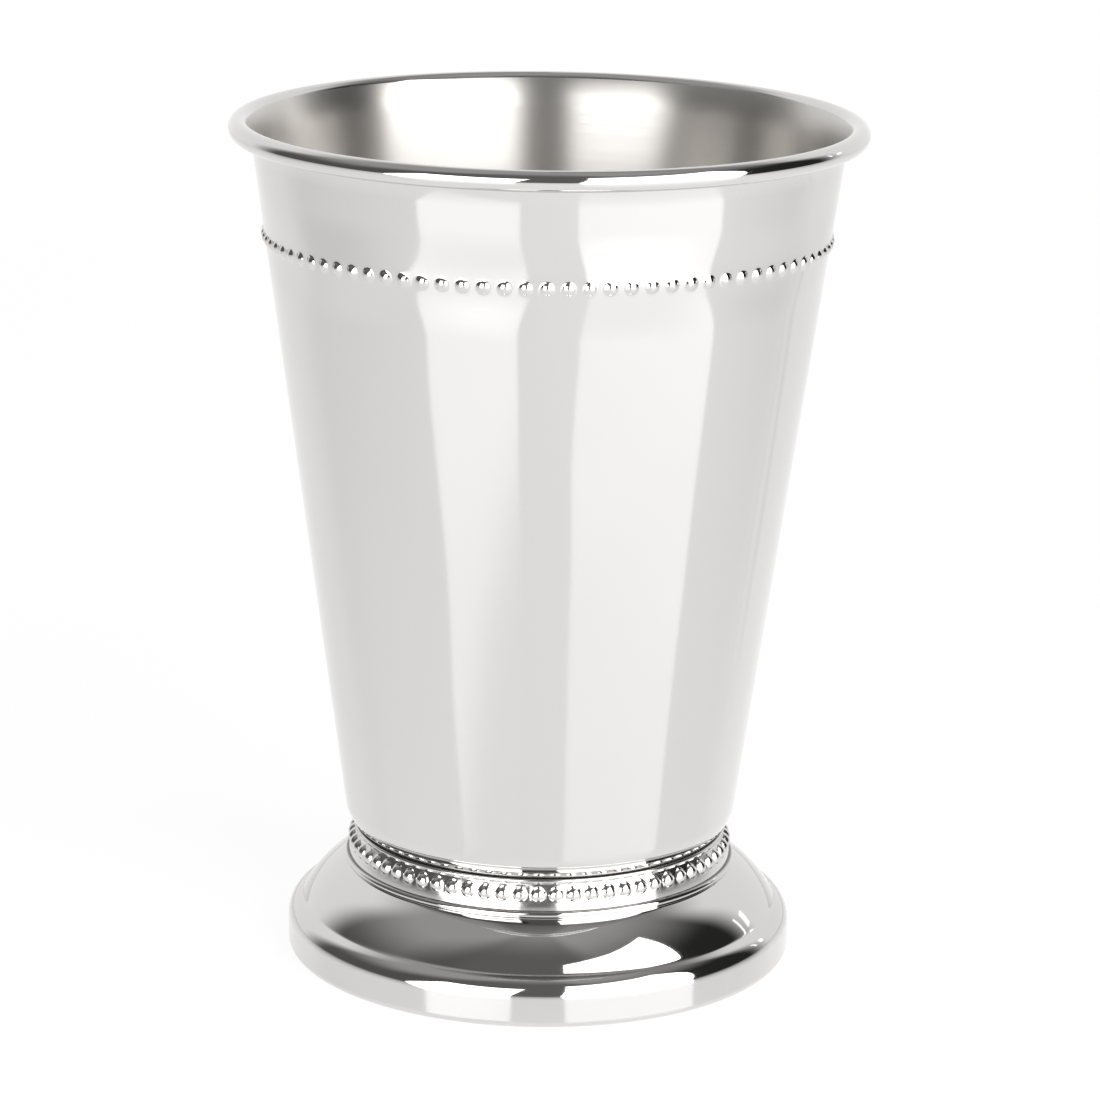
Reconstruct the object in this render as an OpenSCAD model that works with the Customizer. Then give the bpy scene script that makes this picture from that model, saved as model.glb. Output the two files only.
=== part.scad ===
// Footed julep cup in polished stainless steel, with two rows of beads.
// The cup stands on z = 0, its axis is Z and its mouth is at the top.

/* [Overall] */
// Outside diameter over the rolled rim
rim_d = 84; // [76:1:96]
// Height from the table to the top of the rim
cup_h = 114; // [100:1:130]

/* [Bowl] */
// Thickness of the bowl's sheet
wall_t = 0.6; // [0.5:0.05:0.8]
// Outside diameter that the straight wall would have at the floor
base_d = 51.8; // [48:0.2:54]
// Outside radius of the corner between the wall and the floor
corner_r = 5.5; // [5:0.25:7]
// Diameter of the rolled rim's tube
curl_d = 2.7; // [2.4:0.05:3.2]
// Slit between the rolled edge and the wall that it turns back to
curl_gap = 0.08; // [0.06:0.01:0.12]
// How much further the wall leans out before the rim rolls over, in degrees
flare_angle = 20; // [15:1:26]

/* [Bowl beads] */
// Distance from the top of the rim down to the middle of the bead row
row_drop = 15.4; // [10:0.2:30]
// Diameter of one bead where it leaves the wall
row_bead_d = 1.9; // [1.4:0.1:2.2]
// How far one bead stands out of the wall
row_bead_h = 0.4; // [0.25:0.05:0.55]
// Distance from one bead to the next along the row
row_pitch = 2.66; // [2.4:0.02:4]

/* [Foot] */
// Outside diameter of the foot
foot_d = 68.6; // [66:0.2:74]
// Height of the foot, up to the floor of the bowl
foot_h = 15.9; // [15.4:0.1:18]
// Thickness of the foot's sheet
foot_t = 0.8; // [0.6:0.05:1]
// Height of the upright skirt
skirt_h = 4; // [3:0.1:5]
// Radius of the rounded shoulder above the skirt
shoulder_r = 2.85; // [2.4:0.05:3.2]
// Radius of the bend at the resting edge
edge_r = 1; // [0.9:0.05:1.3]
// Width of the flat ring that the cup rests on
rest_w = 2.4; // [1.6:0.1:4]
// How far the crease round the dome lies inside the skirt
crease_inset = 1.95; // [1.3:0.05:2.2]
// Radius of the dome's profile
dome_r = 15.2; // [13:0.1:20]
// Radius of the small roll round the ledge that carries the collar
roll_r = 0.55; // [0.45:0.05:0.65]
// Gap between the neck and the inside of the collar's lip
neck_gap = 0.45; // [0.3:0.05:1.5]
// Width of the flat land at the neck's top, up to the opening under the bowl
land_w = 5.2; // [4.2:0.1:9]

/* [Bead collar] */
// Height of the collar from the ledge to the middle of its round lip
collar_h = 3.7; // [3.5:0.05:4.1]
// How far the middle of the lip lies inside the foot of the straight wall
lip_inset = 0.95; // [0.8:0.05:1.05]
// Radius of the round lip
lip_r = 0.3; // [0.25:0.01:0.32]
// How much further out the collar's foot stands than the middle of the lip
collar_spread = 1.1; // [0.9:0.05:1.2]
// Thickness of the collar's strip
collar_t = 0.5; // [0.4:0.05:0.6]
// Distance from the middle of the lip down to the middle of the bead row
bead_drop = 1.65; // [1.5:0.05:1.8]
// Diameter of one collar bead where it leaves the strip
collar_bead_d = 2; // [1.6:0.05:2.1]
// How far one collar bead stands out of the strip
collar_bead_h = 0.45; // [0.3:0.05:0.5]
// Distance from one collar bead to the next along the row
collar_pitch = 2.34; // [2.2:0.02:3]

/* [Brazing] */
// Leg of the brazed fillet inside the collar
fillet_leg = 0.6; // [0.4:0.05:0.8]

/* [Hidden] */
$fn = 96;
// Steps of one rounded stretch of an outline
arc_steps = 12;
// Steps round the rolled rim's tube
curl_steps = 28;
// Steps of the bowl's corner that the brazed ring leaves bare, and that it covers
bare_steps = 1;
braze_steps = 2;
// Top of the collar's strip from the middle of its lip, outwards and up, as shares of the lip's radius
strip_top_shares = [1 / 3, -4 / 3];
// Overrun of a cut past the face that it opens
cut_over = 1;

// Rolled rim's tube
curl_r = curl_d / 2;
curl_in = curl_r - wall_t;
curl_mid = [rim_d / 2 - curl_r, cup_h - curl_r];

// Straight wall: it leaves the floor's level at base_d and passes the tube by the slit
floor_z = foot_h;
wall_foot = [base_d / 2, floor_z];
to_curl = curl_mid - wall_foot;
wall_off = curl_r + curl_gap;
lean = atan2(to_curl[0], to_curl[1]) - asin(wall_off / norm(to_curl));

// Flare between the wall and the tube: one arc tangent to both
tip_lean = lean + flare_angle;
flare_r = (wall_off - curl_in * cos(flare_angle)) / (1 - cos(flare_angle));
flare_reach = flare_r - curl_in;
flare_mid = curl_mid + flare_reach * [cos(tip_lean), -sin(tip_lean)];

// The tube's edge stops where it comes within the slit of the flare
slit_r = flare_r - curl_gap;
curl_turn = acos((curl_r * curl_r + flare_reach * flare_reach - slit_r * slit_r)
  / (2 * curl_r * flare_reach));
curl_end = -tip_lean - curl_turn;

// Corner tangent to the wall and the floor
corner_mid = [base_d / 2 - corner_r * (1 - sin(lean)) / cos(lean), floor_z + corner_r];
corner_step = (90 - lean) / arc_steps;

// Bowl beads: each dome is part of a sphere, and the sheet keeps its thickness behind it
row_z = cup_h - row_drop;
row_r = wall_foot[0] + (row_z - floor_z) * tan(lean);
row_dome_r = dome_radius(row_bead_d, row_bead_h);
row_mid = [row_r, row_z] - (row_dome_r - row_bead_h) * [cos(lean), -sin(lean)];
row_n = bead_count(row_r, row_pitch);

// Collar: the lip is seated on the bowl's corner, and the strip leans out to the ledge
seat_r = corner_r + lip_r;
lip_out = base_d / 2 - lip_inset;
lip_in = lip_out - corner_mid[0];
lip_mid = [lip_out, corner_mid[1] - sqrt(seat_r * seat_r - lip_in * lip_in)];
lip_inside = lip_mid - [lip_r, 0];
ledge_h = lip_mid[1] - collar_h;
strip_foot = [lip_out + collar_spread, ledge_h];
strip_top = lip_mid + lip_r * strip_top_shares;
strip_lean = atan2(strip_foot[0] - strip_top[0], strip_top[1] - strip_foot[1]);
strip_in = [strip_foot[0] - collar_t / cos(strip_lean), ledge_h];
bead_z = lip_mid[1] - bead_drop;
bead_r = strip_foot[0] - (bead_z - ledge_h) * tan(strip_lean);
collar_dome_r = dome_radius(collar_bead_d, collar_bead_h);
bead_mid = [bead_r, bead_z] - (collar_dome_r - collar_bead_h) * [cos(strip_lean), sin(strip_lean)];
collar_n = bead_count(bead_r, collar_pitch);

// Foot: the roll lies under the collar's outer edge, and the neck stands inside the collar
foot_r = foot_d / 2;
shoulder_mid = [foot_r - shoulder_r, skirt_h];
crease_in = shoulder_r - crease_inset;
crease = [foot_r - crease_inset, skirt_h + sqrt(shoulder_r * shoulder_r - crease_in * crease_in)];
roll_mid = [strip_foot[0], ledge_h - roll_r];
dome_top = roll_mid + roll_r * [1, -1];
dome_mid = arc_mid(crease, dome_top, dome_r);
neck_r = lip_inside[0] - neck_gap;
neck_bend = 3 / 2 * foot_t;
rest_r = foot_r - edge_r - rest_w;

// Points of an arc round a middle, from one angle to another
function arc(mid, r, from, to, steps = arc_steps) =
  [for (i = [0 : steps]) let (a = from + (to - from) * i / steps) mid + r * [cos(a), sin(a)]];

// Middle of the arc of radius r that bulges outwards between two points
function arc_mid(low, high, r) =
  let (
    half = (high - low) / 2,
    back = sqrt(r * r / (half * half) - 1)
  )
  low + half - back * [half[1], -half[0]];

// Radius of the sphere whose cap has this width and height
function dome_radius(d, h) = (d * d / 4 + h * h) / (2 * h);

// Even number of beads that a ring of radius r holds at this pitch
function bead_count(r, pitch) = 2 * round(PI * r / pitch);

// A ring of spheres of radius r, their middles at this radius and height and their poles along the row
module bead_ring(mid, r, count) {
  for (i = [0 : count - 1])
    rotate([0, 0, i * 360 / count])
      translate([mid[0], 0, mid[1]])
        rotate([90, 0, 0])
          sphere(r);
}

// Bowl as a solid, with the rolled rim round its mouth
module bowl_body() {
  rotate_extrude()
    polygon(concat(
      [[0, floor_z]],
      arc(corner_mid, corner_r, -90, -lean),
      arc(flare_mid, flare_r, 180 - lean, 180 - tip_lean),
      arc(curl_mid, curl_in, 180 - tip_lean, curl_end, curl_steps),
      arc(curl_mid, curl_r, curl_end, 180 - tip_lean, curl_steps),
      [[0, curl_mid[1] + curl_r * sin(tip_lean)]]
    ));
}

// Hollow of the bowl, a sheet's thickness inside the body
module bowl_cavity() {
  flare = arc(flare_mid, flare_r + wall_t, 180 - lean, 180 - tip_lean);
  tip = flare[arc_steps];
  rotate_extrude()
    polygon(concat(
      [[0, floor_z + wall_t]],
      arc(corner_mid, corner_r - wall_t, -90, -lean),
      flare,
      [tip + [0, cut_over], [0, tip[1] + cut_over]]
    ));
}

// Drawn bowl with its rolled rim and the row of beads pressed out of its wall
module bowl() {
  color("gainsboro")
    difference() {
      union() {
        bowl_body();
        bead_ring(row_mid, row_dome_r, row_n);
      }
      bowl_cavity();
      bead_ring(row_mid, row_dome_r - wall_t, row_n);
    }
}

// Beaded collar: a leaning strip with a round lip and a row of solid beads
module bead_collar() {
  color("silver")
    difference() {
      union() {
        rotate_extrude()
          polygon(concat(
            [[0, ledge_h], strip_foot, strip_top],
            arc(lip_mid, lip_r, -45, 180),
            [[0, lip_mid[1]]]
          ));
        bead_ring(bead_mid, collar_dome_r, collar_n);
      }
      rotate_extrude()
        polygon([
          [0, ledge_h - cut_over],
          strip_in - [0, cut_over],
          strip_in,
          lip_inside,
          lip_inside + [0, cut_over],
          [0, lip_mid[1] + cut_over]
        ]);
    }
}

// Everything under the skirt, dome and neck, drawn in by inset for their inside
module foot_core(inset) {
  neck_mid = [neck_r - neck_bend, foot_h - neck_bend];
  dome_in = dome_r - inset;
  rotate_extrude()
    polygon(concat(
      [[0, inset]],
      arc([foot_r - edge_r, edge_r], edge_r - inset, -90, 0),
      arc(shoulder_mid, shoulder_r - inset, 0, 90),
      [[0, skirt_h + shoulder_r - inset]]
    ));
  rotate_extrude()
    polygon(concat(
      [[0, skirt_h]],
      arc(
        dome_mid,
        dome_in,
        asin((skirt_h - dome_mid[1]) / dome_in),
        asin((ledge_h - inset - dome_mid[1]) / dome_in)
      ),
      [[0, ledge_h - inset]]
    ));
  rotate_extrude()
    polygon(concat(
      [[0, skirt_h], [neck_r - inset, skirt_h]],
      arc(neck_mid, neck_bend - inset, 0, 90),
      [[0, foot_h - inset]]
    ));
}

// Small roll at the dome's top, whose flat top is the ledge
module neck_roll() {
  rotate_extrude()
    polygon(concat(
      [[0, roll_mid[1] - roll_r]],
      arc(roll_mid, roll_r, -90, 90),
      [[0, ledge_h]]
    ));
}

// Spun foot: skirt, shoulder, dome and neck in one sheet, open below
module foot_shell() {
  color("lightgray")
    difference() {
      union() {
        foot_core(0);
        neck_roll();
      }
      foot_core(foot_t);
      translate([0, 0, -cut_over])
        cylinder(h = foot_t + 2 * cut_over, r = rest_r);
      translate([0, 0, foot_h - foot_t - cut_over])
        cylinder(h = foot_t + 2 * cut_over, r = neck_r - land_w);
    }
}

// Ring of filler between the neck's flat top and the bowl's corner
module bowl_braze_ring() {
  first = -90 + bare_steps * corner_step;
  face = arc(corner_mid, corner_r, first, first + braze_steps * corner_step, braze_steps);
  color("darkgray")
    rotate_extrude()
      polygon(concat(
        [[face[0][0], floor_z]],
        face,
        [[face[braze_steps][0], floor_z]]
      ));
}

// Fillet of filler between the ledge and the inside of the collar
module collar_braze_ring() {
  up = fillet_leg / (lip_inside[1] - ledge_h);
  color("darkgray")
    rotate_extrude()
      polygon([
        strip_in - [fillet_leg, 0],
        strip_in,
        strip_in + up * (lip_inside - strip_in)
      ]);
}

bowl();
bead_collar();
foot_shell();
bowl_braze_ring();
collar_braze_ring();
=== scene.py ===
"""Dresses a footed julep cup of polished steel and sets it in a small white studio."""

from math import acos, asin, atan2, cos, exp, hypot, log, pi, radians, sin, sqrt, tan

import bmesh
import bpy
from bpy.props import FloatProperty, FloatVectorProperty, IntProperty, PointerProperty
from mathutils import Matrix, Vector


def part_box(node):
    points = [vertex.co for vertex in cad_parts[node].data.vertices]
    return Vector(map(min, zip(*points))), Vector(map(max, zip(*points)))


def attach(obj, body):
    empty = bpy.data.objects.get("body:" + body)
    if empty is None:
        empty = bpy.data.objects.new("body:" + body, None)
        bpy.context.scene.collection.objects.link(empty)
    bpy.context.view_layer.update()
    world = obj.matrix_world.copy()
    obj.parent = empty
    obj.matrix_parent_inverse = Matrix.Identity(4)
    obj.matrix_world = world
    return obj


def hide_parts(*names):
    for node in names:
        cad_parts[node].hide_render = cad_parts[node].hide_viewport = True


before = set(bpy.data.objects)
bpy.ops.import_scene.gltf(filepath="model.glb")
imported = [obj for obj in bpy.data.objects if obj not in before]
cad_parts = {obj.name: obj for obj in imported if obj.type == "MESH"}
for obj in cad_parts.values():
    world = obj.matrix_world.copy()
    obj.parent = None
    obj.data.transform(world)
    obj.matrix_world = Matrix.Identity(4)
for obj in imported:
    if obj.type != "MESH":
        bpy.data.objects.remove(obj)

bl_info = {
    "name": "Julep cup",
    "version": (1, 0, 0),
    "blender": (4, 5, 0),
    "location": "3D View > Sidebar > Julep cup",
    "description": "Builds a beaded julep cup around its frame, with its finishes and a studio",
    "category": "Object",
}

MM = 0.001
ON_AXIS = 0.000001 * MM
JOIN_DISTANCE = 0.002 * MM
SHARP_FROM = radians(30)
SENSOR_WIDTH = 36.0
BOWL_LOW, BOWL_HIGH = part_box("bowl")
FOOT_LOW, FOOT_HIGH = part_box("foot_shell")


def length(name, description, value_mm):
    """A property for a length, whose default is given in millimetres."""
    return FloatProperty(name=name, description=description, default=value_mm * MM, min=0.0,
                         unit="LENGTH", subtype="DISTANCE", precision=5)


def turn(name, description, value_degrees):
    """A property for an angle, whose default is given in degrees."""
    return FloatProperty(name=name, description=description, default=radians(value_degrees),
                         unit="ROTATION", subtype="ANGLE")


def share(name, description, value, top=1.0):
    """A property for a plain number from nothing to top."""
    return FloatProperty(name=name, description=description, default=value, min=0.0, max=top)


def tint(name, description, value):
    """A property for a colour."""
    return FloatVectorProperty(name=name, description=description, default=value, min=0.0, max=1.0,
                               size=3, subtype="COLOR")


class BowlSizes(bpy.types.PropertyGroup):
    """Sizes of the drawn bowl, its rolled rim and its row of pressed beads."""

    rim_d: length("Rim", "Outside diameter over the rolled rim", (BOWL_HIGH.x - BOWL_LOW.x) / MM)
    cup_h: length("Height", "Height from the table to the top of the rim", BOWL_HIGH.z / MM)
    floor_z: length("Floor", "Height of the underside of the bowl's floor", BOWL_LOW.z / MM)
    wall_t: length("Sheet", "Thickness of the bowl's sheet", 0.6)
    base_d: length("Base", "Outside diameter that the straight wall would have at the floor", 51.8)
    corner_r: length("Corner", "Outside radius of the corner between wall and floor", 5.5)
    curl_d: length("Rim tube", "Diameter of the rolled rim's tube", 2.7)
    curl_gap: length("Rim slit", "Slit between the rolled edge and the wall", 0.08)
    flare_angle: turn("Flare", "How much further the wall leans out below the rim", 20.0)
    row_drop: length("Row drop", "Distance from the top of the rim to the bead row", 15.4)
    bead_d: length("Bead", "Diameter of a bead where it leaves the wall", 1.76)
    bead_h: length("Bead height", "How far a bead stands out of the wall", 0.42)
    bead_blend: length("Bead foot", "Size of the soft foot between a bead and the wall", 0.055)
    swell: length("Swell", "How far the wall swells along the bead row", 0.05)
    swell_reach: length("Swell reach", "How far the swell reaches above and below the row", 1.6)
    beads: IntProperty(name="Beads", description="Number of beads in the row", default=88, min=8)


class CollarSizes(bpy.types.PropertyGroup):
    """Sizes of the beaded collar between the bowl and the foot."""

    height: length("Height", "Height from the ledge to the middle of the round lip", 3.7)
    lip_inset: length("Lip inset", "How far the lip's middle lies inside the wall's foot", 0.95)
    lip_r: length("Lip", "Radius of the round lip", 0.3)
    spread: length("Spread", "How much further out the collar's foot stands than its lip", 1.1)
    strip_t: length("Strip", "Thickness of the collar's strip", 0.5)
    bead_drop: length("Bead drop", "Distance from the lip's middle down to the bead row", 1.65)
    bulge: length("Bulge", "How far the strip bulges out between its lip and its foot", 0.16)
    bead_w: length("Bead width", "Width of a bead along the row", 2.16)
    bead_up: length("Bead top", "Reach of a bead above its middle", 1.14)
    bead_down: length("Bead bottom", "Reach of a bead below its middle", 1.08)
    bead_h: length("Bead height", "How far a bead stands out of the strip", 0.52)
    bead_blend: length("Bead foot", "Size of the soft foot between a bead and the strip", 0.02)
    egg: share("Egg shape", "How much narrower a bead is at its top", 0.25)
    bead_patch: length("Bead patch", "Reach of the patch that carries a bead, up and down", 1.23)
    beads: IntProperty(name="Beads", description="Number of beads round the collar", default=68, min=8)


class FootSizes(bpy.types.PropertyGroup):
    """Sizes of the spun foot."""

    foot_d: length("Foot", "Outside diameter of the foot", (FOOT_HIGH.x - FOOT_LOW.x) / MM)
    foot_t: length("Sheet", "Thickness of the foot's sheet", 0.8)
    skirt_h: length("Skirt", "Height of the upright skirt", 4.0)
    shoulder_r: length("Shoulder", "Radius of the rounded shoulder above the skirt", 2.85)
    edge_r: length("Edge", "Radius of the bend at the resting edge", 1.0)
    rest_w: length("Rest", "Width of the flat ring that the cup rests on", 2.4)
    crease_inset: length("Crease inset", "How far the crease round the dome lies inside the skirt", 1.95)
    crease_soft: length("Crease softness", "Length over which the crease is eased on each side", 0.35)
    dome_r: length("Dome", "Radius of the dome's profile", 15.2)
    roll_r: length("Roll", "Radius of the small roll round the ledge", 0.55)
    neck_gap: length("Neck gap", "Gap between the neck and the inside of the collar's lip", 0.45)
    land_w: length("Land", "Width of the flat land at the neck's top", 5.2)
    columns: IntProperty(name="Columns", description="Number of steps round the foot", default=288, min=24)


class Finishes(bpy.types.PropertyGroup):
    """Colours and polish of the metals."""

    steel: tint("Steel", "Colour of the polished steel", (0.645, 0.634, 0.622))
    polish: share("Polish", "Roughness of the mirror-polished outside", 0.05)
    waviness: length("Waviness", "Depth of the faint waves that polishing leaves", 0.3)
    row_waves: IntProperty(name="Row waves", description="Number of waves round the pressed row",
                           default=6, min=1)
    row_depth: length("Row wave depth", "Depth of the waves beside the pressed row", 0.27)
    row_reach: length("Row wave reach", "How far these waves reach above and below the row", 7.0)
    tumbled: share("Tumbled polish", "Roughness of the beaded collar", 0.13)
    # Painted shade beside the seams: its strength, its dark colour and the width of its band. The steel is
    # also rougher there.
    painted_seam_shade: share("Residue", "How much polishing residue stays in the seams", 0.8)
    painted_shade_tint: tint("Residue colour", "Colour of the polishing residue", (0.09, 0.08, 0.07))
    painted_shade_w: length("Residue width", "Width of the dull line beside a seam", 0.55)
    satin: tint("Satin", "Colour of the spun inside", (0.62, 0.6, 0.575))
    satin_rough: share("Satin roughness", "Roughness of the spun inside", 0.33)
    satin_grain: share("Satin grain", "How much the spun inside spreads light across its lines", 0.85)
    filler: tint("Filler", "Colour of the brazing filler", (0.5, 0.47, 0.4))


class Studio(bpy.types.PropertyGroup):
    """Lights, floor and camera of the studio."""

    softbox_left: share("Left softbox", "Brightness of the left softbox", 5.25, 20.0)
    softbox_right: share("Right softbox", "Brightness of the right softbox", 4.704, 20.0)
    slit: share("Narrow lights", "Brightness of the two narrow lights", 2.0, 20.0)
    floor_white: share("Floor white", "How white the glossy table is", 0.8)
    floor_light: share("Floor light", "Brightness of the table in the metal", 1.38, 2.0)
    floor_clean: share("Floor clean", "Brightness of the table behind the cup", 1.1, 2.0)
    floor_gloss: share("Floor gloss", "Roughness of the glossy table", 0.13)
    shadow: share("Shadow", "How much of the cup's shadow the camera sees on the table", 0.2)
    tent_r: FloatProperty(name="Tent", description="Radius of the dark tent", default=1.3, unit="LENGTH")
    camera_back: FloatProperty(name="Camera distance", default=0.54171, unit="LENGTH",
                               description="Distance of the camera in front of the axis")
    camera_up: FloatProperty(name="Camera height", description="Height of the camera over the table",
                             default=0.20094, unit="LENGTH")
    camera_pitch: turn("Camera pitch", "How far the camera looks down", 15.042)
    camera_yaw: turn("Camera yaw", "How far the camera looks to the right", 0.095)
    camera_roll: turn("Camera roll", "How far the camera is rolled", 0.852)
    camera_lens: FloatProperty(name="Lens", description="Focal length in millimetres on a 36 mm sensor",
                               default=136.45)


class CupSettings(bpy.types.PropertyGroup):
    """Everything that a user would change."""

    bowl: PointerProperty(type=BowlSizes)
    collar: PointerProperty(type=CollarSizes)
    foot: PointerProperty(type=FootSizes)
    finishes: PointerProperty(type=Finishes)
    studio: PointerProperty(type=Studio)


def settings():
    """The scene's cup settings."""
    return bpy.context.scene.julep_cup


class Link:
    """A shader node's output. Arithmetic on it adds Math nodes."""

    def __init__(self, finish, socket):
        self.finish = finish
        self.socket = socket

    def math(self, operation, *values):
        """A Math node whose inputs are these values."""
        inputs = dict(enumerate(values))
        return self.finish.node("ShaderNodeMath", {"operation": operation}, inputs)

    def __add__(self, other):
        return self.math("ADD", self, other)

    __radd__ = __add__

    def __sub__(self, other):
        return self.math("SUBTRACT", self, other)

    def __rsub__(self, other):
        return self.math("SUBTRACT", other, self)

    def __mul__(self, other):
        return self.math("MULTIPLY", self, other)

    __rmul__ = __mul__

    def __pow__(self, other):
        return self.math("POWER", self, other)

    def __abs__(self):
        return self.math("ABSOLUTE", self)

    def rise(self, low, high):
        """From 0 at low to 1 at high, in a smooth curve."""
        values = {"Value": self, "From Min": low, "From Max": high, "To Min": 0.0, "To Max": 1.0}
        kind = {"interpolation_type": "SMOOTHSTEP", "clamp": True}
        return self.finish.node("ShaderNodeMapRange", kind, values)


class Finish:
    """The node tree of one material or of the world."""

    def __init__(self, owner):
        owner.use_nodes = True
        self.tree = owner.node_tree
        self.tree.nodes.clear()

    def node(self, kind, settings=None, values=None, output=0):
        """One node: its settings first, then the values or links of its inputs. Returns an output."""
        made = self.tree.nodes.new(kind)
        for name, value in (settings or {}).items():
            setattr(made, name, value)
        for name, value in (values or {}).items():
            if isinstance(value, Link):
                self.tree.links.new(value.socket, made.inputs[name])
            else:
                made.inputs[name].default_value = value
        return Link(self, made.outputs[output])

    def place(self):
        """X, Y and Z of the shaded point, in the object's own coordinates."""
        coordinates = self.node("ShaderNodeTexCoord", output="Object")
        parts = self.node("ShaderNodeSeparateXYZ", values={0: coordinates}).socket.node.outputs
        return [Link(self, part) for part in parts]

    def vector(self, x, y, z):
        """Three numbers or links as one vector."""
        return self.node("ShaderNodeCombineXYZ", values={0: x, 1: y, 2: z})

    def blend(self, factor, low, high):
        """From the colour low to the colour high."""
        inputs = {0: factor, 6: (*low, 1.0), 7: (*high, 1.0)}
        return self.node("ShaderNodeMix", {"data_type": "RGBA"}, inputs, output=2)

    def noise(self, vector, scale, detail=2.0):
        """Smooth noise, about 0.5."""
        values = {"Vector": vector, "Scale": scale, "Detail": detail}
        return self.node("ShaderNodeTexNoise", {"noise_dimensions": "3D"}, values)

    def surface(self, shader, kind="ShaderNodeOutputMaterial"):
        """Puts the shader on the output."""
        made = self.tree.nodes.new(kind)
        self.tree.links.new(shader.socket, made.inputs["Surface"])


def metal(finish, colour, roughness, bump, grain=0.0, grain_turn=0.0):
    """A Principled shader for bare metal."""
    values = {
        "Base Color": colour if isinstance(colour, Link) else (*colour, 1.0),
        "Metallic": 1.0,
        "Roughness": roughness,
        "Anisotropic": grain,
        "Anisotropic Rotation": grain_turn,
        "Normal": bump,
    }
    finish.surface(finish.node("ShaderNodeBsdfPrincipled", values=values))


def polished_steel(name, polish, seam, unshaded, row=None):
    """Polished sheet steel with faint waves, with painted shade towards a seam: its colour is darker and its
    roughness higher there.

    seam is the height where the painted shade is darkest, and unshaded the height where it ends.
    row is the height of a pressed bead row, whose dies leave broader waves beside it.
    """
    made = bpy.data.materials.new(name)
    finish = Finish(made)
    look = settings().finishes
    waves_per_metre, upright_stretch = 55.0, 0.45
    first_wave, mean_swell = 0.5, 0.15
    wave_haze, painted_shade_haze = 0.02, 0.4
    x, y, z = finish.place()
    wave = finish.noise(finish.vector(x, y, z * upright_stretch), waves_per_metre, detail=1.0)
    height = wave * look.waviness
    if row:
        bearing = x.math("ARCTAN2", x, y * -1.0)
        press = bearing.math("SINE", (bearing + first_wave) * look.row_waves)
        beside = 1 - abs(z - row).rise(0.0, look.row_reach)
        height = height + (mean_swell - press) * look.row_depth * beside
    values = {"Strength": 1.0, "Distance": 1.0, "Height": height}
    bump = finish.node("ShaderNodeBump", values=values)
    # Painted shade: the colour darkens towards the seam, and the steel gets rougher there.
    painted_seam_shade = look.painted_seam_shade * z.rise(unshaded, seam)
    colour = finish.blend(painted_seam_shade, look.steel, look.painted_shade_tint)
    roughness = polish + wave_haze * (wave - 0.5) + painted_shade_haze * painted_seam_shade
    metal(finish, colour, roughness, bump)
    return made


def satin_steel():
    """Steel spun in the lathe, with fine lines round the axis."""
    made = bpy.data.materials.get("Satin steel")
    if made:
        return made
    made = bpy.data.materials.new("Satin steel")
    finish = Finish(made)
    look = settings().finishes
    lines_per_metre, breaks_per_metre = 5200.0, 60.0
    line_haze, line_depth, line_strength = 0.12, 0.02 * MM, 0.12
    quarter_turn = 0.25
    x, y, z = finish.place()
    along = z + (x * x + y * y) ** 0.5
    place = finish.vector(x * breaks_per_metre, y * breaks_per_metre, along * lines_per_metre)
    lines = finish.noise(place, scale=1.0)
    roughness = look.satin_rough + line_haze * (lines - 0.5)
    values = {"Strength": line_strength, "Distance": line_depth, "Height": lines}
    bump = finish.node("ShaderNodeBump", values=values)
    metal(finish, look.satin, roughness, bump, look.satin_grain, quarter_turn)
    return made


def braze_filler():
    """Dull brazing filler, cooled with a slight grain."""
    made = bpy.data.materials.new("Braze filler")
    finish = Finish(made)
    look = settings().finishes
    grains_per_metre, grain_depth, grain_strength = 2500.0, 0.05 * MM, 0.4
    dullness, grain_haze = 0.45, 0.2
    x, y, z = finish.place()
    grain = finish.noise(finish.vector(x, y, z), grains_per_metre, detail=3.0)
    values = {"Strength": grain_strength, "Distance": grain_depth, "Height": grain}
    bump = finish.node("ShaderNodeBump", values=values)
    metal(finish, look.filler, dullness + grain_haze * (grain - 0.5), bump)
    return made


def arc(middle, radius, start, end, steps):
    """Points of an arc in the plane of the outline, angles in radians."""
    turns = [start + (end - start) * i / steps for i in range(steps + 1)]
    return [(middle[0] + radius * cos(a), middle[1] + radius * sin(a)) for a in turns]


def line(start, end, steps):
    """Points of a straight stretch of an outline."""
    shares = [i / steps for i in range(steps + 1)]
    return [(start[0] + (end[0] - start[0]) * s, start[1] + (end[1] - start[1]) * s) for s in shares]


def ease(start, corner, end, steps):
    """A soft bend from start to end, drawn towards the corner."""
    points = []
    for i in range(steps + 1):
        s = i / steps
        a, b, c = (1 - s) ** 2, 2 * s * (1 - s), s * s
        points.append(tuple(a * p + b * q + c * r for p, q, r in zip(start, corner, end)))
    return points


def dome_radius(width, height):
    """Radius of the sphere whose cap has this width and height."""
    return (width * width / 4 + height * height) / (2 * height)


class Slope:
    """A straight stretch of an outline that carries a row of beads."""

    def __init__(self, middle, lean, count):
        self.middle = middle
        self.lean = lean
        self.half_pitch = pi * middle[0] / count

    def point(self, along, up, out):
        """A point by its distance along the row, up the slope and out of it."""
        r = self.middle[0] + up * sin(self.lean) + out * cos(self.lean)
        z = self.middle[1] + up * cos(self.lean) - out * sin(self.lean)
        a = along / self.middle[0]
        return Vector((r * cos(a), r * sin(a), z))

    def flat(self, up, out):
        """The same point in the plane of the outline."""
        p = self.point(0.0, up, out)
        return (p.x, p.z)


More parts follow.
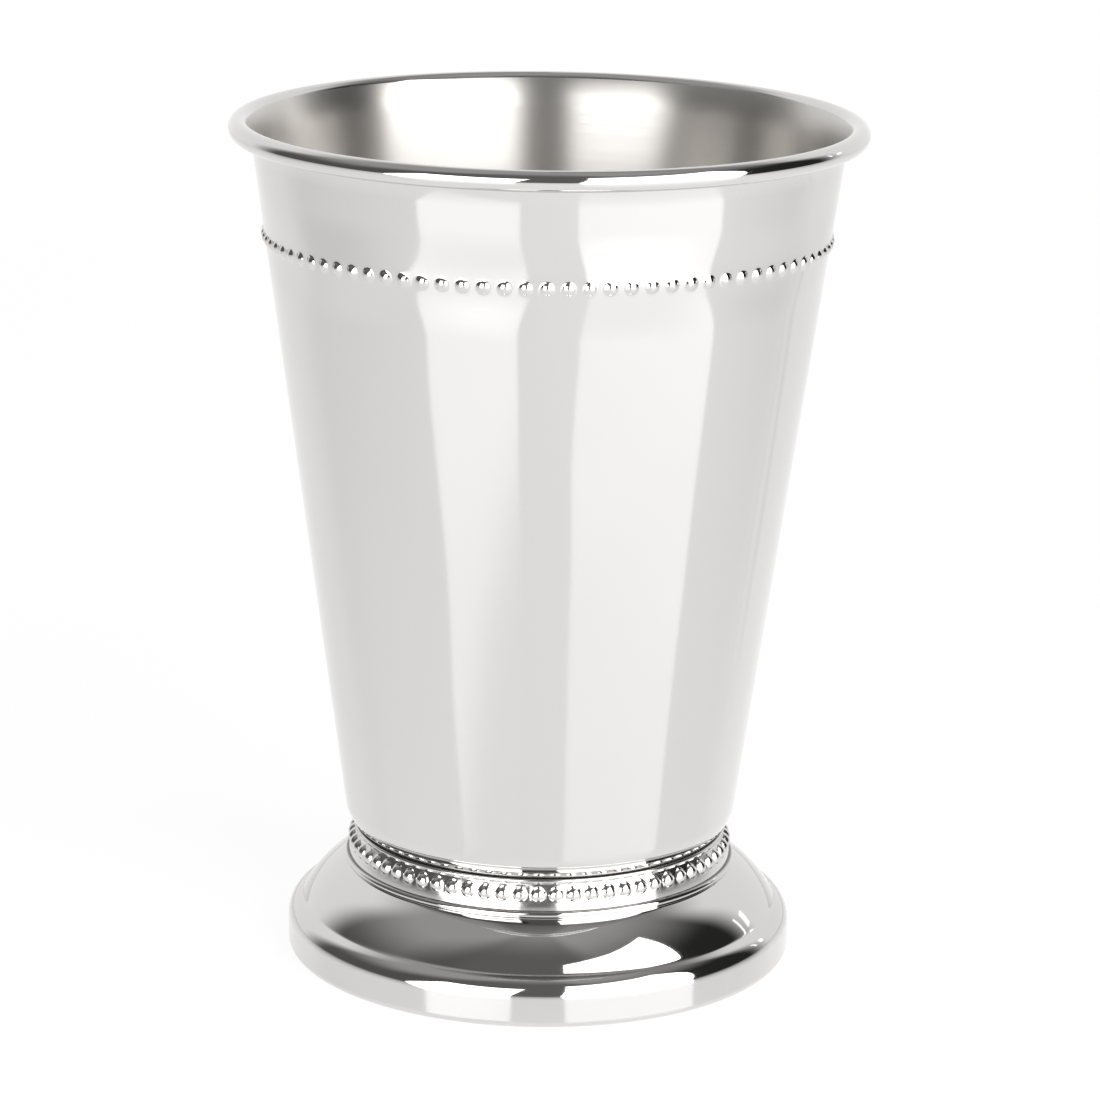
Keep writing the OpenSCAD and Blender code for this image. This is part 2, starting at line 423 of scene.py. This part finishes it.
class Sector:
    """One step of a turned piece, which is later repeated round the axis."""

    def __init__(self, count, columns):
        self.mesh = bmesh.new()
        self.inside = self.mesh.faces.layers.bool.new("inside")
        self.count = count
        self.columns = columns

    def face(self, corners, inside):
        """A face through these vertices, without those that fall together."""
        kept = []
        for v in corners:
            if v not in kept:
                kept.append(v)
        if len(kept) > 2:
            self.mesh.faces.new(kept)[self.inside] = inside

    def turned(self, outline, inside=False):
        """The surface that an outline sweeps, seen from its right hand side when followed."""
        rows = []
        for r, z in outline:
            if r < ON_AXIS:
                rows.append([self.mesh.verts.new((0.0, 0.0, z))] * (self.columns + 1))
                continue
            turns = [(2 * j / self.columns - 1) * pi / self.count for j in range(self.columns + 1)]
            rows.append([self.mesh.verts.new((r * cos(a), r * sin(a), z)) for a in turns])
        for low, high in zip(rows, rows[1:]):
            for j in range(self.columns):
                self.face([low[j], low[j + 1], high[j + 1], high[j]], inside)

    def bead(self, slope, half, rings, lift, inside=False):
        """A patch of the slope with one bead: rings of (along, up) points, closed by a rectangle.

        lift(along, up) says how far the surface stands out of the slope.
        """
        side = self.columns
        edge = []
        for i in range(side):
            edge.append((2 * i / side - 1, -1.0))
        for i in range(side):
            edge.append((1.0, 2 * i / side - 1))
        for i in range(side):
            edge.append((1 - 2 * i / side, 1.0))
        for i in range(side):
            edge.append((-1.0, 1 - 2 * i / side))
        turns = [atan2(v, u) for u, v in edge]
        loops = [[ring(a) for a in turns] for ring in rings]
        loops.append([(u * slope.half_pitch, v * half) for u, v in edge])
        middle = self.mesh.verts.new(slope.point(0.0, 0.0, lift(0.0, 0.0)))
        made = [[self.mesh.verts.new(slope.point(s, t, lift(s, t))) for s, t in loop] for loop in loops]
        n = len(turns)
        flip = -1 if inside else 1
        for i in range(n):
            j = (i + 1) % n
            self.face([middle, made[0][i], made[0][j]][::flip], inside)
            for low, high in zip(made, made[1:]):
                self.face([low[i], high[i], high[j], low[j]][::flip], inside)

    def piece(self, name):
        """The sector as an object."""
        data = bpy.data.meshes.new(name)
        self.mesh.to_mesh(data)
        self.mesh.free()
        made = bpy.data.objects.new(name, data)
        bpy.context.scene.collection.objects.link(made)
        return made


def ring_tree():
    """Geometry Nodes that repeat a sector round the Z axis and join the copies."""
    tree = bpy.data.node_groups.get("Repeat round the axis")
    if tree:
        return tree
    tree = bpy.data.node_groups.new("Repeat round the axis", "GeometryNodeTree")
    sockets = tree.interface
    sockets.new_socket("Geometry", in_out="INPUT", socket_type="NodeSocketGeometry")
    sockets.new_socket("Count", in_out="INPUT", socket_type="NodeSocketInt")
    sockets.new_socket("Join distance", in_out="INPUT", socket_type="NodeSocketFloat")
    sockets.new_socket("Sharp from", in_out="INPUT", socket_type="NodeSocketFloat")
    sockets.new_socket("Outside", in_out="INPUT", socket_type="NodeSocketMaterial")
    sockets.new_socket("Inside", in_out="INPUT", socket_type="NodeSocketMaterial")
    sockets.new_socket("Geometry", in_out="OUTPUT", socket_type="NodeSocketGeometry")

    def add(kind, settings=None, values=None):
        made = tree.nodes.new(kind)
        for name, value in (settings or {}).items():
            setattr(made, name, value)
        for name, value in (values or {}).items():
            if isinstance(value, bpy.types.NodeSocket):
                tree.links.new(value, made.inputs[name])
            else:
                made.inputs[name].default_value = value
        return made

    given = add("NodeGroupInput").outputs
    step = add("ShaderNodeMath", {"operation": "DIVIDE"}, {0: 2 * pi, 1: given["Count"]}).outputs[0]
    index = add("GeometryNodeInputIndex").outputs[0]
    angle = add("ShaderNodeMath", {"operation": "MULTIPLY"}, {0: index, 1: step}).outputs[0]
    rotation = add("ShaderNodeCombineXYZ", values={"Z": angle}).outputs[0]
    points = add("GeometryNodePoints", values={"Count": given["Count"]}).outputs[0]
    copies = add("GeometryNodeInstanceOnPoints", values={
        "Points": points, "Instance": given["Geometry"], "Rotation": rotation}).outputs[0]
    real = add("GeometryNodeRealizeInstances", values={"Geometry": copies}).outputs[0]
    joined = add("GeometryNodeMergeByDistance", values={
        "Geometry": real, "Distance": given["Join distance"]}).outputs[0]
    smooth = add("GeometryNodeSetShadeSmooth", values={"Geometry": joined}).outputs[0]
    bend = add("GeometryNodeInputMeshEdgeAngle").outputs[0]
    limits = {"A": bend, "B": given["Sharp from"]}
    sharp = add("FunctionNodeCompare", {"operation": "GREATER_THAN"}, limits).outputs[0]
    crisp = add("GeometryNodeSetShadeSmooth", {"domain": "EDGE"}, {
        "Geometry": smooth, "Selection": sharp, "Shade Smooth": False}).outputs[0]
    inside = add("GeometryNodeInputNamedAttribute", {"data_type": "BOOLEAN"}, {"Name": "inside"}).outputs[0]
    outer = add("GeometryNodeSetMaterial", values={
        "Geometry": crisp, "Material": given["Outside"]}).outputs[0]
    both = add("GeometryNodeSetMaterial", values={
        "Geometry": outer, "Selection": inside, "Material": given["Inside"]}).outputs[0]
    add("NodeGroupOutput", values={"Geometry": both})
    return tree


def apply_modifiers(piece):
    """Turns the evaluated piece into a plain mesh."""
    graph = bpy.context.evaluated_depsgraph_get()
    data = bpy.data.meshes.new_from_object(piece.evaluated_get(graph))
    data.name = piece.name
    old = piece.data
    piece.modifiers.clear()
    piece.data = data
    bpy.data.meshes.remove(old)


def turn_round(sector, name, outside, inside):
    """Repeats a sector round the axis and gives the finished, smooth piece."""
    piece = sector.piece(name)
    tree = ring_tree()
    ring = piece.modifiers.new("Repeat", "NODES")
    ring.node_group = tree
    values = {"Count": sector.count, "Join distance": JOIN_DISTANCE, "Sharp from": SHARP_FROM,
              "Outside": outside, "Inside": inside}
    for socket in tree.interface.items_tree:
        if socket.in_out == "INPUT" and socket.name in values:
            ring[socket.identifier] = values[socket.name]
    even = piece.modifiers.new("Even normals", "WEIGHTED_NORMAL")
    even.keep_sharp = True
    apply_modifiers(piece)
    return piece


def dress(piece, slot, *nodes):
    """Fixes a piece to the cup's one body, in place of its CAD nodes."""
    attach(piece, "root")
    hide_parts(*nodes)


class BowlShape:
    """Places worked out from the bowl's sizes."""

    def __init__(self, s):
        self.curl_r = s.curl_d / 2
        self.curl_in = self.curl_r - s.wall_t
        self.curl_mid = (s.rim_d / 2 - self.curl_r, s.cup_h - self.curl_r)
        reach = (self.curl_mid[0] - s.base_d / 2, self.curl_mid[1] - s.floor_z)
        off = self.curl_r + s.curl_gap
        self.lean = atan2(reach[0], reach[1]) - asin(off / hypot(*reach))
        self.tip = self.lean + s.flare_angle
        self.flare_r = (off - self.curl_in * cos(s.flare_angle)) / (1 - cos(s.flare_angle))
        back = self.flare_r - self.curl_in
        self.flare_mid = (self.curl_mid[0] + back * cos(self.tip), self.curl_mid[1] - back * sin(self.tip))
        slit_r = self.flare_r - s.curl_gap
        slit_turn = (self.curl_r ** 2 + back ** 2 - slit_r ** 2) / (2 * self.curl_r * back)
        self.curl_end = -self.tip - acos(slit_turn)
        side = s.base_d / 2 - s.corner_r * (1 - sin(self.lean)) / cos(self.lean)
        self.corner_mid = (side, s.floor_z + s.corner_r)
        row_z = s.cup_h - s.row_drop
        row_r = s.base_d / 2 + (row_z - s.floor_z) * tan(self.lean)
        self.slope = Slope((row_r, row_z), self.lean, s.beads)


def soft_cap(ratio, reach, height, blend):
    """Height of a round cap at this share of its reach, with a soft foot that ends at nothing."""
    radius = dome_radius(2 * reach, height)
    end = 0.999 * radius
    plain_from = 40 * blend

    def soft(off):
        cap = sqrt(radius * radius - off * off) - (radius - height)
        return blend * log(1 + exp(cap / blend)) if cap < plain_from else cap

    return soft(min(ratio * reach, end)) - soft(end)


class JULEP_OT_bowl(bpy.types.Operator):
    """Turns the bowl with its rolled rim and the row of beads pressed out of its wall"""

    bl_idname = "julep.bowl"
    bl_label = "Bowl"

    def execute(self, context):
        s = settings().bowl
        b = BowlShape(s)
        slope = b.slope
        half = slope.half_pitch
        reach = s.bead_d / 2
        dimple_r = dome_radius(s.bead_d, s.bead_h) - s.wall_t
        dimple_reach = sqrt(dimple_r ** 2 - (dimple_r - s.bead_h) ** 2)

        def swell(up):
            return s.swell * exp(-(up / s.swell_reach) ** 2)

        def outer(along, up):
            return swell(up) + soft_cap(hypot(along, up) / reach, reach, s.bead_h, s.bead_blend)

        def inner(along, up):
            ratio = hypot(along, up) / dimple_reach
            return swell(up) - s.wall_t + soft_cap(ratio, dimple_reach, s.bead_h, s.bead_blend)

        def circles(shares, size):
            return [lambda a, r=share * size: (r * cos(a), r * sin(a)) for share in shares]

        ring_shares = (0.28, 0.54, 0.76, 0.92, 1.07, 1.25)
        band_steps = (1.0, 1.3, 1.7, 2.2, 2.9)
        above = [slope.flat(half * k, swell(half * k)) for k in band_steps]
        below = [slope.flat(-half * k, swell(half * k)) for k in reversed(band_steps)]
        above_in = [slope.flat(half * k, swell(half * k) - s.wall_t) for k in reversed(band_steps)]
        below_in = [slope.flat(-half * k, swell(half * k) - s.wall_t) for k in band_steps]
        corner = arc(b.corner_mid, s.corner_r, -pi / 2, -b.lean, steps=14)
        corner_in = arc(b.corner_mid, s.corner_r - s.wall_t, -b.lean, -pi / 2, steps=14)
        flare = arc(b.flare_mid, b.flare_r, pi - b.lean, pi - b.tip, steps=9)
        flare_in = arc(b.flare_mid, b.flare_r + s.wall_t, pi - b.tip, pi - b.lean, steps=9)
        tube_in = arc(b.curl_mid, b.curl_in, pi - b.tip, b.curl_end, steps=24)
        tube = arc(b.curl_mid, b.curl_r, b.curl_end, pi - b.tip, steps=40)
        edge_mid = tuple((p + q) / 2 for p, q in zip(tube_in[-1], tube[0]))
        edge = arc(edge_mid, s.wall_t / 2, b.curl_end + pi, b.curl_end + 2 * pi, steps=4)[1:-1]

        sector = Sector(s.beads, columns=4)
        sector.turned(line((0.0, s.floor_z), corner[0], steps=4) + corner[1:]
                      + line(corner[-1], below[0], steps=8)[1:] + below[1:])
        sector.turned(above + line(above[-1], flare[0], steps=2)[1:] + flare[1:] + tube_in[1:] + edge + tube)
        sector.turned(flare_in + line(flare_in[-1], above_in[0], steps=2)[1:] + above_in[1:], inside=True)
        sector.turned(below_in + line(below_in[-1], corner_in[0], steps=8)[1:] + corner_in[1:]
                      + line(corner_in[-1], (0.0, s.floor_z + s.wall_t), steps=4)[1:], inside=True)
        sector.bead(slope, half, circles(ring_shares, reach), outer)
        sector.bead(slope, half, circles(ring_shares, dimple_reach), inner, inside=True)
        look = settings().finishes
        collar = settings().collar
        # Painted shade on the bowl's outside below the top of the collar's lip, fading out over a short band
        # above it.
        seam = CollarShape(collar, s, b).lip_mid[1] + collar.lip_r
        row = slope.middle[1]
        outside = polished_steel("Bowl steel", look.polish, seam, seam + look.painted_shade_w, row)
        bowl = turn_round(sector, "bowl_shell", outside, satin_steel())
        dress(bowl, "mirror_steel", "bowl")
        return {"FINISHED"}


class CollarShape:
    """Places worked out from the collar's sizes and the bowl's corner."""

    def __init__(self, s, bowl, b):
        seat = bowl.corner_r + s.lip_r
        lip_out = bowl.base_d / 2 - s.lip_inset
        side = lip_out - b.corner_mid[0]
        self.lip_mid = (lip_out, b.corner_mid[1] - sqrt(seat * seat - side * side))
        self.ledge = self.lip_mid[1] - s.height
        self.foot = (lip_out + s.spread, self.ledge)
        self.top = (lip_out + s.lip_r / 3, self.lip_mid[1] - s.lip_r * 4 / 3)
        self.lean = -atan2(self.foot[0] - self.top[0], self.top[1] - self.foot[1])
        self.foot_in = (self.foot[0] - s.strip_t / cos(self.lean), self.ledge)
        self.lip_in = (lip_out - s.lip_r, self.lip_mid[1])
        row_z = self.lip_mid[1] - s.bead_drop
        self.slope = Slope((self.foot[0] + (row_z - self.ledge) * tan(self.lean), row_z), self.lean, s.beads)


class JULEP_OT_collar(bpy.types.Operator):
    """Turns the beaded collar between the bowl and the foot"""

    bl_idname = "julep.collar"
    bl_label = "Beaded collar"

    def execute(self, context):
        bowl = settings().bowl
        s = settings().collar
        c = CollarShape(s, bowl, BowlShape(bowl))
        slope = c.slope
        top = (c.top[1] - slope.middle[1]) / cos(c.lean)
        foot = (c.foot[1] - slope.middle[1]) / cos(c.lean)
        patch = s.bead_patch

        def bulge(up):
            """How far the strip stands out of its chord."""
            return 4 * s.bulge * (top - up) * (up - foot) / (top - foot) ** 2

        def reach(up):
            """Half width and reach of a bead at this height: it narrows towards its top."""
            if up > 0:
                return s.bead_w / 2 * (1 - s.egg * up / s.bead_up), s.bead_up
            return s.bead_w / 2, s.bead_down

        def ring(share):
            def place(a):
                up = share * reach(sin(a))[1] * sin(a)
                return share * reach(up)[0] * cos(a), up
            return place

        def lift(along, up):
            wide, tall = reach(up)
            ratio = hypot(along / wide, up / tall)
            return bulge(up) + soft_cap(ratio, s.bead_w / 2, s.bead_h, s.bead_blend)

        def strip(low, high):
            """Points of the plain strip between two heights."""
            heights = [low + (high - low) * i / 4 for i in range(5)]
            return [slope.flat(up, bulge(up)) for up in heights]

        lip_start = radians(-62)
        ring_shares = (0.25, 0.48, 0.69, 0.87, 1.0)
        lip = arc(c.lip_mid, s.lip_r, lip_start, pi, steps=14)
        inner = line(c.lip_in, c.foot_in, steps=3)
        rest = line(c.foot_in, c.foot, steps=2)
        sector = Sector(s.beads, columns=4)
        sector.turned(strip(foot, -patch))
        sector.turned(strip(patch, top) + lip + inner[1:] + rest[1:])
        sector.bead(slope, patch, [ring(share) for share in ring_shares], lift)
        # Painted shade on the top of the lip, where it meets the bowl's corner.
        seam = c.lip_mid[1] + s.lip_r
        steel = polished_steel("Collar steel", settings().finishes.tumbled, seam, c.lip_mid[1] + s.lip_r / 2)
        collar = turn_round(sector, "collar_ring", steel, steel)
        dress(collar, "mirror_steel", "bead_collar")
        return {"FINISHED"}


def circles_meet(mid_a, r_a, mid_b, r_b, side):
    """Where two circles cross, on the given side of the line between their middles."""
    dx, dy = mid_b[0] - mid_a[0], mid_b[1] - mid_a[1]
    d = hypot(dx, dy)
    along = (d * d + r_a * r_a - r_b * r_b) / (2 * d)
    off = side * sqrt(r_a * r_a - along * along)
    return (mid_a[0] + (along * dx - off * dy) / d, mid_a[1] + (along * dy + off * dx) / d)


def turn_of(point, middle):
    """Direction of a point from a middle."""
    return atan2(point[1] - middle[1], point[0] - middle[0])


class JULEP_OT_foot(bpy.types.Operator):
    """Turns the spun foot with its skirt, shoulder, crease, dome, roll and neck"""

    bl_idname = "julep.foot"
    bl_label = "Foot"

    def execute(self, context):
        bowl = settings().bowl
        s = settings().foot
        collar_s = settings().collar
        c = CollarShape(collar_s, bowl, BowlShape(bowl))
        out = s.foot_d / 2
        t = s.foot_t
        shoulder_mid = (out - s.shoulder_r, s.skirt_h)
        crease_in = s.shoulder_r - s.crease_inset
        crease = (out - s.crease_inset, s.skirt_h + sqrt(s.shoulder_r ** 2 - crease_in ** 2))
        roll_mid = (c.foot[0], c.ledge - s.roll_r)
        dome_top = (roll_mid[0] + s.roll_r, roll_mid[1] - s.roll_r)
        half = ((dome_top[0] - crease[0]) / 2, (dome_top[1] - crease[1]) / 2)
        back = sqrt(s.dome_r ** 2 / (half[0] ** 2 + half[1] ** 2) - 1)
        dome_mid = (crease[0] + half[0] - back * half[1], crease[1] + half[1] + back * half[0])
        neck_r = c.lip_in[0] - s.neck_gap
        bend = 1.5 * t
        neck_mid = (neck_r - bend, bowl.floor_z - bend)
        hole_r = neck_r - s.land_w
        edge_mid = (out - s.edge_r, s.edge_r)
        rest_r = out - s.edge_r - s.rest_w

        groove = circles_meet(dome_mid, s.dome_r, roll_mid, s.roll_r, side=-1)
        soft_turn = s.crease_soft / s.dome_r
        crease_turn = turn_of(crease, dome_mid)
        soft_high = arc(dome_mid, s.dome_r, crease_turn + soft_turn, crease_turn, steps=1)[0]
        shoulder_turn = turn_of(crease, shoulder_mid)
        ease_turn = shoulder_turn - s.crease_soft / s.shoulder_r
        soft_low = arc(shoulder_mid, s.shoulder_r, ease_turn, 0.0, steps=1)[0]
        dome_in = s.dome_r - t
        crease_low = circles_meet(dome_mid, dome_in, shoulder_mid, s.shoulder_r - t, side=1)
        ledge_in = c.ledge - t
        dome_end = dome_mid[0] + sqrt(dome_in ** 2 - (ledge_in - dome_mid[1]) ** 2)
        inner_top = turn_of((dome_end, ledge_in), dome_mid)

        outline = (
            [(rest_r, 0.0)]
            + arc(edge_mid, s.edge_r, -pi / 2, 0.0, steps=8)
            + arc(shoulder_mid, s.shoulder_r, 0.0, ease_turn, steps=24)
            + ease(soft_low, crease, soft_high, steps=5)[1:-1]
            + arc(dome_mid, s.dome_r, turn_of(soft_high, dome_mid), turn_of(groove, dome_mid), steps=26)
            + arc(roll_mid, s.roll_r, turn_of(groove, roll_mid), pi / 2, steps=14)[1:]
            + [(neck_r, c.ledge)]
            + arc(neck_mid, bend, 0.0, pi / 2, steps=6)
            + [(hole_r, bowl.floor_z)]
        )
        under = (
            [(hole_r, bowl.floor_z - t)]
            + arc(neck_mid, bend - t, pi / 2, 0.0, steps=4)
            + [(neck_r - t, ledge_in), (dome_end, ledge_in)]
            + arc(dome_mid, dome_in, inner_top, turn_of(crease_low, dome_mid), steps=14)[1:]
            + arc(shoulder_mid, s.shoulder_r - t, turn_of(crease_low, shoulder_mid), 0.0, steps=10)[1:]
            + arc(edge_mid, s.edge_r - t, 0.0, -pi / 2, steps=4)
            + [(rest_r, t)]
        )
        sector = Sector(s.columns, columns=1)
        sector.turned(outline)
        sector.turned([outline[-1], under[0]])
        sector.turned(under, inside=True)
        sector.turned([under[-1], outline[0]])
        # Painted shade on the top of the roll and on the neck, just under the collar.
        outside = polished_steel("Foot steel", settings().finishes.polish, c.ledge, c.ledge - s.roll_r / 3)
        foot = turn_round(sector, "foot_turned", outside, satin_steel())
        dress(foot, "mirror_steel", "foot_shell")
        return {"FINISHED"}


class JULEP_OT_brazing(bpy.types.Operator):
    """Gives the two rings of brazing filler their dull metal"""

    bl_idname = "julep.brazing"
    bl_label = "Brazing"

    def execute(self, context):
        filler = braze_filler()
        for name in ("bowl_braze_ring", "collar_braze_ring"):
            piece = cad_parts[name]
            piece.data.materials.clear()
            piece.data.materials.append(filler)
        return {"FINISHED"}


def bearing_and_height(finish):
    """Bearing from the camera's side and height angle of the shaded point, in degrees."""
    x, y, z = finish.place()
    bearing = x.math("ARCTAN2", x, y * -1.0) * (180 / pi)
    height = z.math("ARCTAN2", z, (x * x + y * y) ** 0.5) * (180 / pi)
    return bearing, height


def glow(name, brightness, fade_from, fade_to, left_over):
    """A shining cloth that fades between two height angles, in degrees, to what is left over."""
    made = bpy.data.materials.new(name)
    finish = Finish(made)
    bearing, height = bearing_and_height(finish)
    level = 1 - (1 - left_over) * height.rise(fade_from, fade_to)
    finish.surface(finish.node("ShaderNodeEmission", values={"Color": level, "Strength": brightness}))
    return made


def by_way_of_table(finish):
    """1 where the metal sees the light by way of the table or other metal, 0 where it sees it straight."""
    between_first_and_second = 1.5
    depth = finish.node("ShaderNodeLightPath", output="Ray Depth")
    return depth.math("GREATER_THAN", depth, between_first_and_second)


def left_cloth(brightness):
    """The left softbox's cloth, faded at its top right.

    By way of the table it fades more, and is cut off on the right.
    """
    made = bpy.data.materials.new("Left softbox cloth")
    finish = Finish(made)
    fade_middle, fade_slant, faded_share, straight_share = -34.0, 0.23, 0.95, 0.3
    bearing, height = bearing_and_height(finish)
    table = by_way_of_table(finish)
    fade = (height + (bearing - fade_middle) * fade_slant).rise(26.0, 31.5)
    fade = fade * (straight_share + (1 - straight_share) * table)
    level = (1 - faded_share * fade) * (1 - table * bearing.rise(-12.4, -11.6))
    finish.surface(finish.node("ShaderNodeEmission", values={"Color": level, "Strength": brightness}))
    return made


def slit_light(brightness):
    """A narrow light that shows in the metal but not in the table."""
    made = bpy.data.materials.new("Slit light")
    finish = Finish(made)
    strength = brightness * (1 - by_way_of_table(finish))
    finish.surface(finish.node("ShaderNodeEmission", values={"Strength": strength}))
    return made


def tent_cloth():
    """Dark tent, darkest on the right, paler overhead and towards its open back."""
    made = bpy.data.materials.new("Tent cloth")
    finish = Finish(made)
    side_level, right_drop, front_lift, top_level = 0.11, 0.085, 0.04, 0.42
    front_middle, top_higher, top_lower = -8.0, 20.0, 16.0
    bearing, height = bearing_and_height(finish)
    front = 1 - abs(bearing - front_middle).rise(25.0, 50.0)
    far_left = 1 - bearing.rise(-80.0, -50.0)
    far_right = bearing.rise(35.0, 70.0)
    dark = side_level - right_drop * far_right + front_lift * front
    top = (height - top_higher * front + top_lower * far_left).rise(34.0, 76.0)
    back = abs(bearing).rise(108.0, 130.0) * (1 - height.rise(38.0, 62.0))
    level = dark + (top_level - dark) * top
    level = level + (1.0 - level) * back
    finish.surface(finish.node("ShaderNodeEmission", values={"Color": level, "Strength": 1.0}))
    return made


def table_top():
    """Glossy white table, which the camera sees as white with a soft shadow."""
    made = bpy.data.materials.new("Table top")
    finish = Finish(made)
    s = settings().studio
    white = (s.floor_white, s.floor_white, s.floor_white, 1.0)
    lit_share, gloss_index = 0.6, 1.36
    plain = finish.node("ShaderNodeBsdfDiffuse", values={"Color": white})
    lit = finish.node("ShaderNodeEmission", values={"Strength": s.floor_light})
    base = finish.node("ShaderNodeMixShader", values={0: lit_share, 1: plain, 2: lit})
    mirror = finish.node("ShaderNodeBsdfGlossy", values={"Roughness": s.floor_gloss})
    edge = finish.node("ShaderNodeFresnel", values={"IOR": gloss_index})
    gloss = finish.node("ShaderNodeMixShader", values={0: edge, 1: base, 2: mirror})
    unshaded = finish.node("ShaderNodeEmission", values={"Strength": s.floor_clean})
    seen = finish.node("ShaderNodeMixShader", values={0: s.shadow, 1: unshaded, 2: plain})
    camera = finish.node("ShaderNodeLightPath", output="Is Camera Ray")
    finish.surface(finish.node("ShaderNodeMixShader", values={0: camera, 1: gloss, 2: seen}))
    return made


def bearing_point(bearing, height, distance):
    """A point by its bearing to the right of the camera's side and its height angle, both in degrees."""
    a, e = radians(bearing), radians(height)
    return Vector((sin(a) * cos(e), -cos(a) * cos(e), sin(e))) * distance


def card(name, corners, distance, finish, steps=6):
    """A curved card between four corners by bearing and height angle, which the camera doesn't see."""
    low_left, low_right, high_right, high_left = corners
    mesh = bmesh.new()

    def mix(a, b, share):
        return tuple(p + (q - p) * share for p, q in zip(a, b))

    rows = []
    for i in range(steps + 1):
        left = mix(low_left, high_left, i / steps)
        right = mix(low_right, high_right, i / steps)
        places = [mix(left, right, j / steps) for j in range(steps + 1)]
        rows.append([mesh.verts.new(bearing_point(*place, distance)) for place in places])
    for low, high in zip(rows, rows[1:]):
        for j in range(steps):
            mesh.faces.new((low[j], low[j + 1], high[j + 1], high[j]))
    data = bpy.data.meshes.new(name)
    mesh.to_mesh(data)
    mesh.free()
    data.materials.append(finish)
    made = bpy.data.objects.new(name, data)
    bpy.context.scene.collection.objects.link(made)
    made.visible_camera = False
    return made


class JULEP_OT_studio(bpy.types.Operator):
    """Sets up the white table, the softboxes, the dark tent, the background and the camera"""

    bl_idname = "julep.studio"
    bl_label = "Studio"

    def execute(self, context):
        s = settings().studio
        half = 6.0
        just_below = -0.05 * MM
        data = bpy.data.meshes.new("table")
        around = ((-half, -half), (half, -half), (half, half), (-half, half))
        corners = [(x, y, just_below) for x, y in around]
        data.from_pydata(corners, [], [(0, 1, 2, 3)])
        data.materials.append(table_top())
        table = bpy.data.objects.new("table", data)
        bpy.context.scene.collection.objects.link(table)

        softbox_away, slit_away = 0.8, 1.1
        left = left_cloth(s.softbox_left)
        card("softbox_left", ((-58, 0.3), (-12, 0.3), (-7, 35), (-44, 35)), softbox_away, left)
        right = glow("Right softbox cloth", s.softbox_right, fade_from=30.0, fade_to=55.0, left_over=0.6)
        card("softbox_right", ((10, 0.3), (70, 0.3), (79, 57), (16, 49)), softbox_away, right)
        slit = slit_light(s.slit)
        card("slit_near", ((117.5, 14), (119, 14), (121, 24), (119.5, 24)), slit_away, slit, steps=1)
        card("slit_far", ((122.5, 13), (126, 13), (129, 21), (125.5, 21)), slit_away, slit, steps=1)
        card("tent", ((-180, 0.0), (180, 0.0), (180, 90), (-180, 90)), s.tent_r, tent_cloth(), steps=60)

        world = bpy.data.worlds.new("White background")
        bpy.context.scene.world = world
        finish = Finish(world)
        sky = finish.node("ShaderNodeBackground", values={"Color": (1.0, 1.0, 1.0, 1.0), "Strength": 1.0})
        finish.surface(sky, "ShaderNodeOutputWorld")

        forward = Vector((sin(s.camera_yaw) * cos(s.camera_pitch), cos(s.camera_yaw) * cos(s.camera_pitch),
                          -sin(s.camera_pitch)))
        right = Vector((cos(s.camera_yaw), -sin(s.camera_yaw), 0.0))
        up = right.cross(forward)
        rolled_right = right * cos(s.camera_roll) + up * sin(s.camera_roll)
        rolled_up = up * cos(s.camera_roll) - right * sin(s.camera_roll)
        lens = bpy.data.cameras.new("camera")
        lens.lens = s.camera_lens
        lens.sensor_width = SENSOR_WIDTH
        camera = bpy.data.objects.new("camera", lens)
        bpy.context.scene.collection.objects.link(camera)
        turned = Matrix((rolled_right, rolled_up, -forward)).transposed().to_4x4()
        camera.matrix_world = Matrix.Translation((0.0, -s.camera_back, s.camera_up)) @ turned
        bpy.context.scene.camera = camera
        bpy.context.scene.view_settings.view_transform = "Standard"
        return {"FINISHED"}


class JULEP_PT_panel(bpy.types.Panel):
    """Lists the cup's pieces and the studio"""

    bl_label = "Julep cup"
    bl_idname = "JULEP_PT_panel"
    bl_space_type = "VIEW_3D"
    bl_region_type = "UI"
    bl_category = "Julep cup"

    def draw(self, context):
        for piece in OPERATORS:
            self.layout.operator(piece.bl_idname)
        cup = settings()
        for part in (cup.bowl, cup.collar, cup.foot, cup.finishes, cup.studio):
            box = self.layout.box()
            for name in part.__annotations__:
                box.prop(part, name)


OPERATORS = (JULEP_OT_studio, JULEP_OT_bowl, JULEP_OT_collar, JULEP_OT_foot, JULEP_OT_brazing)
GROUPS = (BowlSizes, CollarSizes, FootSizes, Finishes, Studio, CupSettings)
CLASSES = (*GROUPS, *OPERATORS, JULEP_PT_panel)


def register():
    """Adds the classes and the scene's settings."""
    for kind in CLASSES:
        bpy.utils.register_class(kind)
    bpy.types.Scene.julep_cup = PointerProperty(type=CupSettings)


def unregister():
    """Takes the settings and the classes away."""
    del bpy.types.Scene.julep_cup
    for kind in reversed(CLASSES):
        bpy.utils.unregister_class(kind)


def main():
    """Builds the cup and its studio."""
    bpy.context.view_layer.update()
    register()
    bpy.ops.julep.studio()
    bpy.ops.julep.bowl()
    bpy.ops.julep.collar()
    bpy.ops.julep.foot()
    bpy.ops.julep.brazing()


if __name__ == "__main__":
    main()
